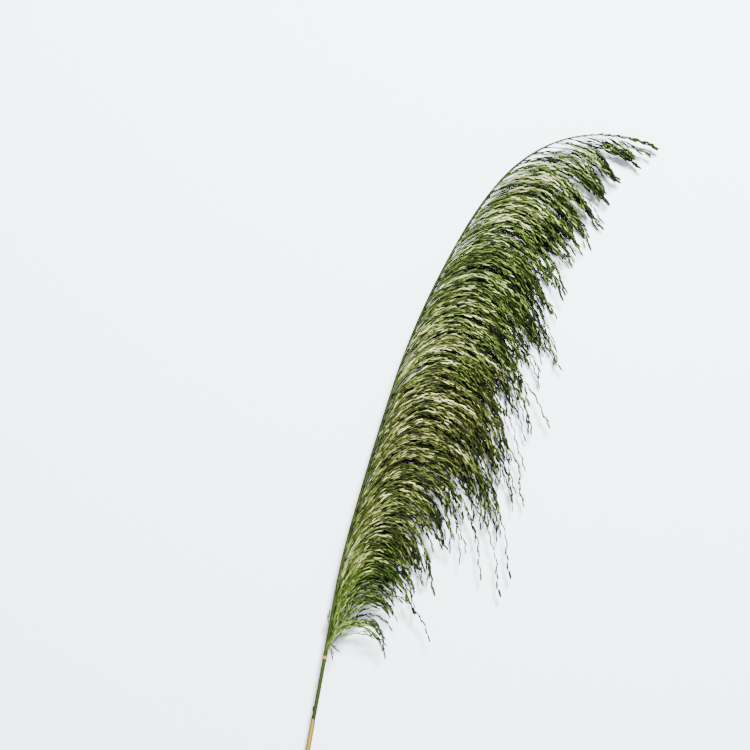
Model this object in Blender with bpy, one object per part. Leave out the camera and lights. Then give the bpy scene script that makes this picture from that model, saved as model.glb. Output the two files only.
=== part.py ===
"""Dried pampas grass: one cut plume that lies on its side.

The stalk and the axis of the plume are one grown piece. It is laid out like a road, by its
heading and its climb at stations along it. The side branches, here called sprays, leave the axis
on one side only, arch over and hang. They lie in three tiers, over, beside and under the axis,
so that they pass each other freely. Each spray is a trunk with beaded strands rooted in it, and
each bead stands for a small group of closed spikelets, larger than life.

Metres, +Z up. The ground is z = 0, and the origin is on it, under the middle of the plume.
"""

import math
import random

import bmesh
import bpy
from mathutils import Vector

# Stalk and axis: distance from the base of the plume, heading from +X, climb from level
STALK_LENGTH = 0.300
AXIS_LENGTH = 0.679
AXIS_STATIONS = (
    (-0.300, 81.0, 3.8),
    (-0.050, 79.5, 3.8),
    (0.060, 80.0, 3.0),
    (0.130, 74.5, 0.5),
    (0.280, 72.0, -0.3),
    (0.360, 65.5, -0.6),
    (0.450, 59.5, -0.8),
    (0.510, 49.0, -1.6),
    (0.560, 29.0, -3.0),
    (0.610, 6.0, -5.0),
    (0.679, -22.0, -8.0),
)
AXIS_STEP = 0.001
SWEEP_STEP = 0.002

# Half the stalk's thickness at stations, flat to flat
AXIS_SIDES = 8
AXIS_GIRTH = (
    (-0.300, 0.00210),
    (-0.245, 0.00210),
    (-0.237, 0.00265),
    (-0.232, 0.00265),
    (-0.229, 0.00190),
    (-0.0595, 0.00190),
    (-0.056, 0.00210),
    (-0.006, 0.00210),
    (-0.002, 0.00240),
    (0.002, 0.00240),
    (0.006, 0.00205),
    (0.180, 0.00170),
    (0.400, 0.00115),
    (0.470, 0.00095),
    (0.640, 0.00050),
    (0.647, 0.00130),
    (0.655, 0.00050),
    (0.661, 0.00115),
    (0.669, 0.00045),
)
AXIS_RING_PITCH = ((0.400, 0.030), (0.470, 0.012))

# Dry leaf sheath round the stalk
SHEATH_FOOT = -0.2288
SHEATH_MOUTH = -0.0675
SHEATH_LIP = 0.007
SHEATH_BORE = 0.00222
SHEATH_WALL = 0.00050
SHEATH_SLIT = 0.0004
SHEATH_SPANS = 5

# Sprays, counted from the base of the plume
SPRAY_COUNT = 33
FIRST_SPRAY = 0.007
LAST_SPRAY = 0.630
SPRAY_JITTER = 0.0025
SEAT_GAP = 0.0003
TIERS = ("under", "over", "beside")

# By the place of a spray on the axis: its reach, its angle off the axis, how sharply and how
# late it turns over, and the heading of its tip
SPRAY_REACH = (
    (0.000, 0.082),
    (0.030, 0.132),
    (0.080, 0.152),
    (0.120, 0.172),
    (0.150, 0.205),
    (0.180, 0.238),
    (0.215, 0.246),
    (0.260, 0.228),
    (0.300, 0.216),
    (0.350, 0.205),
    (0.380, 0.188),
    (0.420, 0.160),
    (0.480, 0.149),
    (0.516, 0.128),
    (0.556, 0.096),
    (0.600, 0.064),
    (0.650, 0.036),
)
SHORT_REACH = 0.120
LONGEST_REACH = max(reach for _, reach in SPRAY_REACH)
START_ANGLE = (
    (0.000, 22.0),
    (0.020, 12.0),
    (0.120, 7.0),
    (0.450, 8.0),
    (0.560, 16.0),
    (0.650, 24.0),
)
TURN_POWER = ((0.000, 1.80), (0.120, 2.00), (0.200, 1.95))
TURN_DELAY = (
    (0.000, 1.50),
    (0.020, 2.00),
    (0.060, 1.80),
    (0.120, 1.35),
    (0.200, 1.15),
    (0.450, 1.10),
    (0.650, 1.00),
)
TIP_HEADING = (
    (0.000, -70.0),
    (0.030, -80.0),
    (0.150, -87.0),
    (0.200, -86.0),
    (0.300, -79.0),
    (0.360, -72.0),
    (0.420, -66.0),
    (0.480, -59.0),
    (0.550, -50.0),
    (0.600, -40.0),
    (0.650, -28.0),
)

# Strands of a spray: where each leaves the trunk, how far it drifts along the axis, its length
STRANDS = (
    (0.010, 0.019, 0.86),
    (0.017, -0.017, 0.90),
    (0.025, 0.012, 0.97),
    (0.033, -0.011, 0.80),
    (0.041, 0.006, 0.72),
)
TRUNK_LENGTH = (0.97, 1.06)
STRAND_LENGTH = (0.88, 1.08)
LEAST_SPREAD = 0.35
DRIFT_LENGTH = 0.070
FREE_LENGTH = 0.020
TRUNK_THICK_SHARE = 0.22
TRUNK_THICK_STEPS = 3

# Sections are triangles that stand on a flat side
TRUNK_WIDTH = 0.0024
TRUNK_HEIGHT = 0.0021
THREAD_WIDTH = 0.0013
THREAD_HEIGHT = 0.0009
BEAD_WIDTH = 0.0036
BEAD_HEIGHT = 0.0021
BEAD_PITCH = 0.026
LEAST_PITCH_SHARE = 0.70
BEAD_FULLEST = 0.42
BEAD_SWING = 0.0008
FIRST_BEAD = (0.40, 0.70)
ROOM_FOR_BEAD = 0.90
SLIMMING = 0.45
ROOT_SHARE = 0.65
ROOT_RISE = 0.0003
TIP_SHARE = 0.55
TIP_REACH = 0.40
FEWEST_SECTIONS = 4

# Heights of the three tiers: share of the axis's height far out, how far out they come down
FAR_SHARE = {"over": 0.55, "beside": 0.26, "under": 0.0}
FALL_REACH = {"over": 0.150, "beside": 0.140, "under": 0.045}
OVER_LIFT = 0.005
OVER_LIFT_REACH = 0.040
TALLEST_PLACE = 0.150
STRAND_FLOAT = {"over": 0.0020, "beside": 0.0014, "under": 0.0014}
FLOAT_REACH = 0.025

# Finish
STALK_COLOUR = (0.10, 0.17, 0.035)
STALK_ROUGHNESS = 0.45
SHEATH_COLOUR = (0.56, 0.42, 0.20)
SHEATH_ROUGHNESS = 0.60
STRAND_COLOUR = (0.12, 0.19, 0.045)
STRAND_ROUGHNESS = 0.60
TINT_RANGE = 0.02
SHARP_ANGLE = math.radians(50.0)

SEED = 7


def between(stations, place, column=1):
    """A value at a place, straight between the stations of a table."""
    if place <= stations[0][0]:
        return stations[0][column]
    for low, high in zip(stations, stations[1:]):
        if place <= high[0]:
            share = (place - low[0]) / (high[0] - low[0])
            return low[column] + share * (high[column] - low[column])
    return stations[-1][column]


def eased(share):
    """A share from 0 to 1 with soft ends."""
    share = min(max(share, 0.0), 1.0)
    return share * share * (3.0 - 2.0 * share)


def lay_out_axis():
    """Points of the axis, one for each step, from the cut end to the tip."""
    first_height = AXIS_GIRTH[0][1] * math.cos(math.radians(AXIS_STATIONS[0][2]))
    points = [Vector((0.0, 0.0, first_height))]
    steps = round((STALK_LENGTH + AXIS_LENGTH) / AXIS_STEP)
    for step in range(steps):
        place = -STALK_LENGTH + (step + 0.5) * AXIS_STEP
        heading = math.radians(between(AXIS_STATIONS, place))
        climb = math.radians(between(AXIS_STATIONS, place, column=2))
        level = math.cos(climb)
        move = Vector((level * math.cos(heading), level * math.sin(heading), math.sin(climb)))
        points.append(points[-1] + AXIS_STEP * move)
    base = points[round(STALK_LENGTH / AXIS_STEP)]
    shift = Vector((base.x, base.y, 0.0))
    return [point - shift for point in points]


AXIS = lay_out_axis()


def axis_point(place):
    """The point of the axis at a distance from the base of the plume."""
    exact = (place + STALK_LENGTH) / AXIS_STEP
    index = min(max(int(exact), 0), len(AXIS) - 2)
    return AXIS[index].lerp(AXIS[index + 1], exact - index)


def axis_frame(place):
    """Forward, sideways (to the right) and upward directions of the axis at a place."""
    forward = (axis_point(place + AXIS_STEP) - axis_point(place - AXIS_STEP)).normalized()
    side = forward.cross(Vector((0.0, 0.0, 1.0))).normalized()
    return forward, side, side.cross(forward)


def nearest_place(spot):
    """The place on the axis that is nearest to a spot on the ground plan, and how far it is."""

    def distance(index):
        return (AXIS[index].xy - spot.xy).length

    coarse = 4
    near = min(range(0, len(AXIS), coarse), key=distance)
    nearest = min(range(max(near - coarse, 0), min(near + coarse + 1, len(AXIS))), key=distance)
    return nearest * AXIS_STEP - STALK_LENGTH, distance(nearest)


def tier_height(tier, spot):
    """Height at which the flat sides of a tier lie at a spot on the plan."""
    place, aside = nearest_place(spot)
    axis_height = axis_point(place).z
    girth = between(AXIS_GIRTH, place)
    start = {
        "over": axis_height + girth + SEAT_GAP,
        "beside": axis_height - 0.5 * TRUNK_HEIGHT,
        "under": axis_height - girth - SEAT_GAP - TRUNK_HEIGHT,
    }[tier]
    lift = OVER_LIFT * eased(aside / OVER_LIFT_REACH) if tier == "over" else 0.0
    lift *= axis_height / axis_point(TALLEST_PLACE).z
    far = FAR_SHARE[tier] * axis_height
    fall = 1.0 - eased(aside / FALL_REACH[tier])
    return max(far + (start + lift - far) * fall, 0.0)


def sweep(place, reach_out):
    """The spot that a spray from this place on the axis reaches, on the plan."""
    heading_start = between(AXIS_STATIONS, place) - between(START_ANGLE, place)
    heading_end = between(TIP_HEADING, place)
    power = between(TURN_POWER, place)
    delay = between(TURN_DELAY, place)
    reach = between(SPRAY_REACH, place)
    spot = axis_point(place)
    steps = max(2, round(reach_out / SWEEP_STEP))
    stride = reach_out / steps
    for step in range(steps):
        share = min(max((step + 0.5) * stride / reach, 0.0), 1.0)
        turned = 1.0 - (1.0 - share**delay) ** power
        heading = math.radians(heading_start + turned * (heading_end - heading_start))
        spot += stride * Vector((math.cos(heading), math.sin(heading), 0.0))
    return spot


class Strand:
    """One beaded strand, or the trunk of its spray, as a row of triangular sections."""

    def __init__(self, tier, place, length, draw, trunk=None, root=0.0, drift=0.0):
        size = between(SPRAY_REACH, place) / LONGEST_REACH
        self.tier = tier
        self.place = place
        self.length = length
        self.pitch = BEAD_PITCH * (LEAST_PITCH_SHARE + (1.0 - LEAST_PITCH_SHARE) * size)
        self.trunk = trunk
        self.root = root
        self.drift = drift
        self.float_height = draw.uniform(-1.0, 1.0) * STRAND_FLOAT[tier]
        if tier == "under":
            self.float_height = max(self.float_height, 0.0)
        self.phase = draw.uniform(0.0, 1.0)

    def spot(self, out):
        """The strand's middle on the plan, at a distance out along the spray."""
        away = min((out - self.root) / DRIFT_LENGTH, 1.0)
        drift = self.drift * (1.0 - (1.0 - away) ** 2)
        spot = sweep(self.place + drift, out)
        _, side, _ = axis_frame(self.place)
        girth = between(AXIS_GIRTH, self.place)
        offset = girth + SEAT_GAP + 0.5 * TRUNK_WIDTH if self.tier == "beside" else 0.5 * girth
        return spot + offset * Vector((side.x, side.y, 0.0))

    def height(self, spot, out):
        """Height of the strand's flat side, which leaves the trunk's height gently."""
        _, aside = nearest_place(spot)
        own = self.float_height
        if self.trunk is not None:
            freed = eased((out - self.root) / FREE_LENGTH)
            own = freed * own + (1.0 - freed) * self.trunk.float_height
        base = tier_height(self.tier, spot) + own * eased(aside / FLOAT_REACH)
        if self.trunk is not None:
            base += (1.0 - freed) * ROOT_RISE
        return max(base, 0.0)

    def stations(self):
        """Distances out, each with the width and height there and the bead's swing sideways."""
        rows = []
        out = self.root
        if self.trunk is None:
            thick_length = TRUNK_THICK_SHARE * self.length
            for step in range(TRUNK_THICK_STEPS):
                slim = step / TRUNK_THICK_STEPS
                width = TRUNK_WIDTH + slim * (THREAD_WIDTH - TRUNK_WIDTH)
                rows.append((out, width, TRUNK_HEIGHT / TRUNK_WIDTH * width, 0.0))
                out += thick_length / TRUNK_THICK_STEPS
        else:
            rows.append((out, ROOT_SHARE * THREAD_WIDTH, ROOT_SHARE * THREAD_HEIGHT, 0.0))
            out += (FIRST_BEAD[0] + (FIRST_BEAD[1] - FIRST_BEAD[0]) * self.phase) * self.pitch
        swing = BEAD_SWING if self.phase > 0.5 else -BEAD_SWING
        while out < self.length - ROOM_FOR_BEAD * self.pitch:
            taper = 1.0 - SLIMMING * (out / self.length) ** 2
            rows.append((out, THREAD_WIDTH * taper, THREAD_HEIGHT * taper, 0.0))
            fullest = out + BEAD_FULLEST * self.pitch
            rows.append((fullest, BEAD_WIDTH * taper, BEAD_HEIGHT * taper, swing))
            swing = -swing
            out += self.pitch
        rows.append((out, TIP_SHARE * THREAD_WIDTH, TIP_SHARE * THREAD_HEIGHT, 0.0))
        return rows

    def section(self, out, width, height, swing):
        """The three corners of the section: left foot, right foot and ridge."""
        ahead = self.spot(out + AXIS_STEP) - self.spot(out - AXIS_STEP)
        ahead.z = 0.0
        ahead.normalize()
        right = Vector((ahead.y, -ahead.x, 0.0))
        middle = self.spot(out) + swing * right
        middle.z = self.height(middle, out)
        left_foot = middle - 0.5 * width * right
        right_foot = middle + 0.5 * width * right
        return left_foot, right_foot, middle + Vector((0.0, 0.0, height))

    def sections(self):
        return [self.section(*row) for row in self.stations()]

    def tip(self):
        """The strand's pointed end."""
        end = self.stations()[-1][0] + TIP_REACH * self.pitch
        middle = self.spot(end)
        middle.z = self.height(middle, end)
        return middle


def loft(sections, tip=None):
    """A closed body through sections with equal corner counts, with a flat or a pointed end."""
    body = bmesh.new()
    start = bmesh.ops.create_circle(body, cap_ends=True, segments=len(sections[0]), radius=0.001)
    corners = start["verts"]
    for vertex, spot in zip(corners, sections[0]):
        vertex.co = spot
    for section in sections[1:]:
        corners = extrude_to(body, corners, section)
    if tip is not None:
        corners = extrude_to(body, corners, [tip] * len(corners))
        bmesh.ops.pointmerge(body, verts=corners, merge_co=tip)
    body.normal_update()
    bmesh.ops.recalc_face_normals(body, faces=body.faces[:])
    bmesh.ops.triangulate(body, faces=body.faces[:])
    return body


def extrude_to(body, corners, spots):
    """Extrude the end face with these corners and move each copy to its spot."""
    end = next(face for face in corners[0].link_faces if set(face.verts) == set(corners))
    grown = bmesh.ops.extrude_face_region(body, geom=[end])["geom"]
    copies = [item for item in grown if isinstance(item, bmesh.types.BMVert)]
    ordered = [min(copies, key=lambda v: (v.co - corner.co).length_squared) for corner in corners]
    for vertex, spot in zip(ordered, spots):
        vertex.co = spot
    is_inner_wall = len(end.edges[0].link_faces) > 2
    if is_inner_wall:
        bmesh.ops.delete(body, geom=[end], context="FACES_ONLY")
    return ordered


def add_object(name, body, parent):
    mesh = bpy.data.meshes.new(name)
    body.to_mesh(mesh)
    body.free()
    piece = bpy.data.objects.new(name, mesh)
    piece.parent = parent
    bpy.context.scene.collection.objects.link(piece)
    return piece


def finish(piece, colour, roughness):
    """The piece's own material."""
    material = bpy.data.materials.new(piece.name)
    material.use_nodes = True
    shader = material.node_tree.nodes["Principled BSDF"]
    shader.inputs["Base Color"].default_value = (*colour, 1.0)
    shader.inputs["Roughness"].default_value = roughness
    shader.inputs["Metallic"].default_value = 0.0
    piece.data.materials.clear()
    piece.data.materials.append(material)


def clear_scene():
    for thing in list(bpy.data.objects):
        bpy.data.objects.remove(thing)


def axis_section(place, half_thickness):
    """A section of the stalk, with flat sides up, down, left and right."""
    _, side, up = axis_frame(place)
    middle = axis_point(place)
    corner = half_thickness / math.cos(math.pi / AXIS_SIDES)
    angles = [math.tau * (index + 0.5) / AXIS_SIDES for index in range(AXIS_SIDES)]
    return [middle + corner * (math.cos(a) * side + math.sin(a) * up) for a in angles]


def make_stem(parent):
    """Stalk and axis, from the cut end to the pointed tip of the plume."""
    places = []
    for low, high in zip(AXIS_GIRTH, AXIS_GIRTH[1:]):
        count = max(1, round((high[0] - low[0]) / between(AXIS_RING_PITCH, low[0])))
        places += [low[0] + index * (high[0] - low[0]) / count for index in range(count)]
    places.append(AXIS_GIRTH[-1][0])
    sections = [axis_section(place, between(AXIS_GIRTH, place)) for place in places]
    piece = add_object("stem", loft(sections, tip=axis_point(AXIS_LENGTH)), parent)
    piece.data.shade_smooth()
    piece.data.set_sharp_from_angle(angle=SHARP_ANGLE)
    finish(piece, STALK_COLOUR, STALK_ROUGHNESS)
    return piece


def sheath_section(place, lip):
    """A rolled section: round the outside from slit to slit, and back along the bore."""
    forward, side, up = axis_frame(place)
    below = math.radians(-90.0)
    step = math.tau / AXIS_SIDES
    section = []
    for half_thickness in (SHEATH_BORE + SHEATH_WALL, SHEATH_BORE):
        corner = half_thickness / math.cos(step / 2)
        turns = [below - step * (index + 0.5) for index in range(AXIS_SIDES)]
        row = [(-SHEATH_SLIT / 2, -half_thickness)]
        row += [(corner * math.cos(turn), corner * math.sin(turn)) for turn in turns]
        row.append((SHEATH_SLIT / 2, -half_thickness))
        section += row if half_thickness > SHEATH_BORE else row[::-1]
    middle = axis_point(place)
    reach = SHEATH_BORE + SHEATH_WALL
    spots = []
    for wide, high in section:
        rise = lip * (0.5 - 0.5 * wide / reach)
        spots.append(middle + wide * side + high * up + rise * forward)
    return spots


def make_leaf_sheath(parent):
    """The dry sheath: a leaf base rolled round the stalk, slit below, with a slanted mouth."""
    sections = []
    for index in range(SHEATH_SPANS + 1):
        place = SHEATH_FOOT + (SHEATH_MOUTH - SHEATH_FOOT) * index / SHEATH_SPANS
        sections.append(sheath_section(place, SHEATH_LIP if index == SHEATH_SPANS else 0.0))
    piece = add_object("leaf_sheath", loft(sections), parent)
    piece.data.shade_smooth()
    piece.data.set_sharp_from_angle(angle=SHARP_ANGLE)
    finish(piece, SHEATH_COLOUR, SHEATH_ROUGHNESS)
    return piece


def make_spray(number, parent):
    """One side branch: a trunk with the strands that are rooted in it."""
    draw = random.Random(SEED * 1000 + number)
    share = number / (SPRAY_COUNT - 1)
    place = FIRST_SPRAY + share * (LAST_SPRAY - FIRST_SPRAY)
    place += draw.uniform(-SPRAY_JITTER, SPRAY_JITTER)
    tier = TIERS[number % len(TIERS)]
    reach = between(SPRAY_REACH, place)
    spread = LEAST_SPREAD + (1.0 - LEAST_SPREAD) * reach / LONGEST_REACH
    name = f"spray_{number + 1:02d}"
    trunk = Strand(tier, place, reach * draw.uniform(*TRUNK_LENGTH), draw)
    piece = add_object(name, loft(trunk.sections(), trunk.tip()), parent)
    strands = bpy.data.collections.new(name + "_strands")
    strand_count = len(STRANDS) if reach > SHORT_REACH else len(STRANDS) - 1
    for root, drift, length_share in STRANDS[:strand_count]:
        length = reach * length_share * draw.uniform(*STRAND_LENGTH)
        strand = Strand(tier, place, length, draw, trunk, root * spread, drift * spread)
        if len(strand.stations()) >= FEWEST_SECTIONS:
            part = add_object(name + "_strand", loft(strand.sections(), strand.tip()), None)
            strands.objects.link(part)
    fuse(piece, strands)
    tint = draw.uniform(-TINT_RANGE, TINT_RANGE)
    red, green, blue = STRAND_COLOUR
    finish(piece, (red + tint, green + tint, blue), STRAND_ROUGHNESS)
    return piece


def fuse(piece, strands):
    """Join all the strands of a collection to a piece in one Boolean union."""
    union = piece.modifiers.new("strands", "BOOLEAN")
    union.operation = "UNION"
    union.operand_type = "COLLECTION"
    union.collection = strands
    union.solver = "MANIFOLD"
    graph = bpy.context.evaluated_depsgraph_get()
    fused = bpy.data.meshes.new_from_object(piece.evaluated_get(graph))
    piece.modifiers.clear()
    body = bmesh.new()
    body.from_mesh(fused)
    bmesh.ops.triangulate(body, faces=body.faces[:])
    body.to_mesh(piece.data)
    body.free()
    bpy.data.meshes.remove(fused)
    for part in list(strands.objects):
        bpy.data.objects.remove(part)
    bpy.data.collections.remove(strands)


def centre_on_ground(root, pieces):
    """Move the plume so that the origin is under the middle of its footprint."""
    corners = [vertex.co for piece in pieces for vertex in piece.data.vertices]
    middle_x = 0.5 * (min(c.x for c in corners) + max(c.x for c in corners))
    middle_y = 0.5 * (min(c.y for c in corners) + max(c.y for c in corners))
    root.location = (-middle_x, -middle_y, 0.0)


def main():
    clear_scene()
    root = bpy.data.objects.new("plume", None)
    bpy.context.scene.collection.objects.link(root)
    pieces = [make_stem(root), make_leaf_sheath(root)]
    pieces += [make_spray(number, root) for number in range(SPRAY_COUNT)]
    centre_on_ground(root, pieces)


main()
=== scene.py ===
# %% [markdown]
# # A plume of pampas grass, lying on its side
#
# Below the seed head the stalk is a smooth green culm. Above its last joint it goes on as the
# plume's axis, and from one side of it hundreds of thin branches arch over and hang. Each
# branch carries rows of closed spikelets, the small pointed husks that hold the seeds.
#
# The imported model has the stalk, the dry leaf sheath and the plume's branches in thirty-three
# sprays of thick beaded strands. Here each spray gets its real look: many fine strands with
# single spikelets, laid on the same curves and at the same heights as the solid that they stand
# for.

import math
import random

import bmesh
import bpy
import numpy as np
from mathutils import Matrix, Vector


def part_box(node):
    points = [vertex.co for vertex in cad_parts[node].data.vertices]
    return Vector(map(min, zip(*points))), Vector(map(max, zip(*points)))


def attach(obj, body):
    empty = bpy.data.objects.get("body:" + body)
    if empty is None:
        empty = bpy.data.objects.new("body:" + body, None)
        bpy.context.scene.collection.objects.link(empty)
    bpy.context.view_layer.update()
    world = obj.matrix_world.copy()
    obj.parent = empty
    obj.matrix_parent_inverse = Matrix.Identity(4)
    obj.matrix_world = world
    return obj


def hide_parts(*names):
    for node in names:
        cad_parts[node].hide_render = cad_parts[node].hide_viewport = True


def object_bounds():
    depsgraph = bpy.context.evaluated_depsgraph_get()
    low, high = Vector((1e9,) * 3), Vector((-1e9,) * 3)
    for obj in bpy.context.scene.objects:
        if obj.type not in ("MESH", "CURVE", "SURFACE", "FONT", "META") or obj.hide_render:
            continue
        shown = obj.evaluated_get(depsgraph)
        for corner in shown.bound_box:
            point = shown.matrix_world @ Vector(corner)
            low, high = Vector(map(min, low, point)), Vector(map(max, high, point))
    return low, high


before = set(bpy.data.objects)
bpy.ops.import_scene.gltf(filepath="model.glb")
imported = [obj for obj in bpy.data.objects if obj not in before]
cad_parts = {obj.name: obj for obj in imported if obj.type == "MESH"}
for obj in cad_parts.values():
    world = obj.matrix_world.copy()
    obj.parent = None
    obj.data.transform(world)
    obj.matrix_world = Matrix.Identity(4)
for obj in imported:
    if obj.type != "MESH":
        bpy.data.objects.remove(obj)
cad_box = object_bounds()
MM = 0.001
cad_size = [round(side / MM, 1) for side in cad_box[1] - cad_box[0]]
print("packed nodes:", len(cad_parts), "box in mm:", cad_size)

# %% [markdown]
# ## The line of the plume
#
# The stalk and the axis are one grown line. It could be drawn as a curve by hand, but every
# strand has to leave it at the right place and angle, so it is worked out from its heading and
# its climb at a few stations, a millimetre at a time. These are the same stations that the solid
# model was made from, so both lie on one line. Places along it are counted from the base of the
# plume, where the lowest branch grows.

# %% The axis, one point for each millimetre
STALK_LENGTH = 0.300
AXIS_LENGTH = 0.679
# Of each station: its place in metres, then the heading and the climb in degrees.
AXIS_STATIONS = np.array([
    (-0.300, 81.0, 3.8), (-0.050, 79.5, 3.8), (0.060, 80.0, 3.0), (0.130, 74.5, 0.5),
    (0.280, 72.0, -0.3), (0.360, 65.5, -0.6), (0.450, 59.5, -0.8), (0.510, 49.0, -1.6),
    (0.560, 29.0, -3.0), (0.610, 6.0, -5.0), (0.679, -22.0, -8.0),
])
PLUME_BASE = np.array([-0.138976, -0.112935])
CUT_END_HEIGHT = 0.0021


def lay_out_axis():
    steps = round((STALK_LENGTH + AXIS_LENGTH) / MM)
    middles = (np.arange(steps) + 0.5) * MM - STALK_LENGTH
    heading = np.radians(np.interp(middles, AXIS_STATIONS[:, 0], AXIS_STATIONS[:, 1]))
    climb = np.radians(np.interp(middles, AXIS_STATIONS[:, 0], AXIS_STATIONS[:, 2]))
    moves = MM * np.column_stack((
        np.cos(climb) * np.cos(heading), np.cos(climb) * np.sin(heading), np.sin(climb)))
    points = np.vstack(((0.0, 0.0, CUT_END_HEIGHT), moves)).cumsum(axis=0)
    points[:, :2] += PLUME_BASE - points[round(STALK_LENGTH / MM), :2]
    return points


AXIS = lay_out_axis()
AXIS_PLACES = np.arange(len(AXIS)) * MM - STALK_LENGTH
tip_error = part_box("stem")[1].x - AXIS[-1, 0]
print("axis from", AXIS[0].round(4), "to", AXIS[-1].round(4))
print("off the solid's tip by mm:", round(tip_error / MM, 2))

# %% [markdown]
# ## How a branch curves
#
# A branch leaves the axis almost along it, arches over and then hangs. The lower ones are short
# and turn soon, the middle ones are the longest, and near the tip they are short again. Curves
# drawn by hand could follow a few of them, but not thirteen hundred strands. So tables give
# reach, angle and hanging direction at places on the axis, and numpy reads between their rows.
# Working on whole rows of points at once keeps it quick.

# %% Tables of the branches, and the spot that a branch reaches
# In every table the first number of a row is a place on the axis, in metres.
SPRAY_REACH = np.array([
    (0.000, 0.082), (0.030, 0.132), (0.080, 0.152), (0.120, 0.172), (0.150, 0.205),
    (0.180, 0.238), (0.215, 0.246), (0.260, 0.228), (0.300, 0.216), (0.350, 0.205),
    (0.380, 0.188), (0.420, 0.160), (0.480, 0.149), (0.516, 0.128), (0.556, 0.096),
    (0.600, 0.064), (0.650, 0.036),
])
START_ANGLE = np.array([
    (0.000, 21.0), (0.012, 12.0), (0.030, 6.0), (0.120, 5.0), (0.450, 7.0), (0.560, 16.0),
    (0.650, 24.0),
])
TURN_POWER = np.array([(0.000, 1.80), (0.120, 2.00), (0.200, 1.95)])
TURN_DELAY = np.array([
    (0.000, 1.50), (0.020, 2.00), (0.060, 1.80), (0.120, 1.35), (0.200, 1.15), (0.450, 1.10),
    (0.650, 1.00),
])
TIP_HEADING = np.array([
    (0.000, -70.0), (0.030, -80.0), (0.150, -87.0), (0.200, -86.0), (0.300, -79.0),
    (0.360, -72.0), (0.420, -66.0), (0.480, -59.0), (0.550, -50.0), (0.600, -40.0),
    (0.650, -28.0),
])
GIRTH = np.array([
    (-0.300, 0.00205), (0.000, 0.00200), (0.180, 0.00165), (0.400, 0.00110), (0.679, 0.00045),
])
BRANCH_STEPS = 48


def at(table, places):
    """A table's value at places on the axis."""
    return np.interp(places, table[:, 0], table[:, 1])


def axis_at(places):
    return np.column_stack([np.interp(places, AXIS_PLACES, AXIS[:, i]) for i in range(3)])


def eased(share):
    share = np.clip(share, 0.0, 1.0)
    return share * share * (3.0 - 2.0 * share)


def reached(places, outs, stretch=1.0, bend=0.0):
    """Plan spots at distances out along branches that leave the axis at these places."""
    leaving = np.interp(places, AXIS_STATIONS[:, 0], AXIS_STATIONS[:, 1]) - at(START_ANGLE, places)
    hanging = at(TIP_HEADING, places) + bend
    small_steps = (np.arange(BRANCH_STEPS) + 0.5) / BRANCH_STEPS
    share = np.minimum(np.outer(outs / (stretch * at(SPRAY_REACH, places)), small_steps), 1.0)
    delay, power = at(TURN_DELAY, places)[:, None], at(TURN_POWER, places)[:, None]
    turned = 1.0 - (1.0 - share ** delay) ** power
    heading = np.radians(leaving[:, None] + turned * (hanging - leaving)[:, None])
    moved = outs[:, None] * np.column_stack((np.cos(heading).mean(1), np.sin(heading).mean(1)))
    return axis_at(places)[:, :2] + moved


print("longest branch in mm:", SPRAY_REACH[:, 1].max() / MM)

# %% [markdown]
# ## Three tiers
#
# Seen from the side, the plume lies on the surface as a loose pad: its lowest strands touch the
# surface, others leave the axis beside it, and the top ones arch over it. A simulation could let
# every strand fall, but a rule for three tiers gives nearly the same pad at once, and the same
# one each time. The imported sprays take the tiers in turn, and the fine strands keep to the height
# of their own spray.

# %% Height of a tier at spots on the plan
TIERS = ("under", "over", "beside")
FAR_SHARE = {"over": 0.55, "beside": 0.26, "under": 0.0}
FALL_REACH = {"over": 0.150, "beside": 0.140, "under": 0.045}
UNDER_GAP = 1.6 * MM
ARCH_RISE = 5.0 * MM
ARCH_REACH = 0.040
FULL_HEIGHT = 0.020


def tier_height(tier, spots):
    away = np.linalg.norm(spots[:, None, :] - AXIS[None, :, :2], axis=2)
    nearest = away.argmin(axis=1)
    aside = away[np.arange(len(spots)), nearest]
    height = AXIS[nearest, 2]
    girth = at(GIRTH, AXIS_PLACES[nearest])
    start = {"over": height + girth, "beside": height, "under": height - girth - UNDER_GAP}[tier]
    if tier == "over":
        start = start + ARCH_RISE * eased(aside / ARCH_REACH) * height / FULL_HEIGHT
    far = FAR_SHARE[tier] * height
    return far + (start - far) * (1.0 - eased(aside / FALL_REACH[tier])), aside


for tier in TIERS:
    spots = reached(np.full(4, 0.25), np.array([0.0, 0.05, 0.10, 0.20]))
    print(tier, "height in mm on the way out:", (tier_height(tier, spots)[0] / MM).round(1))

# %% [markdown]
# ## One spikelet, and a straight strand
#
# A spikelet is a slender pointed husk, about 10 mm long and not quite 1 mm thick, or nearly 2 mm
# at a strand's end. A husk of several scales could be modelled, but it would be a few pixels
# long and is repeated many thousand times, so a stretched sphere with four sides and three bands
# is enough. A strand is first made straight, as a thread along X with spikelets that lean to its
# sides in turn and lie nearly in line with it, as closed ones do. The thread is bare where it
# leaves the plume's axis. A few straight strands for each centimetre of length, which differ in
# their bare stretch, serve the whole plume. Their corners also keep what the colours need: a tone
# for each spikelet, how far a corner is towards the spikelet's tip, and how near it is to the
# spikelet's crest.

# %% A straight strand
THREAD_SIDES = 3
THREAD_FOOT, THREAD_END = 0.28 * MM, 0.14 * MM
THREAD_PIECE = 8 * MM
# A thread's painted light lies between a husk's darker sides and its lighter top.
THREAD_TIP, THREAD_PAINTED_LIGHT = 0.3, 0.75
SPIKELET_SIDES, SPIKELET_BANDS = 4, 3
SPIKELET_CORNERS = SPIKELET_SIDES * (SPIKELET_BANDS - 1) + 2
SPIKELET = 9.6 * MM
# A spikelet's thickness is a share of its length, and grows towards the strand's end.
THICKNESS = (0.062, 0.088)
END_THICKENING = 1.45
FLATNESS = 0.9
LEAN, ROLL = (4.0, 10.0), (-35.0, 35.0)
PITCH = 5.0 * MM
END_SPREADING = 0.4
LONGEST_BARE_SHARE = 0.45
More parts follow.
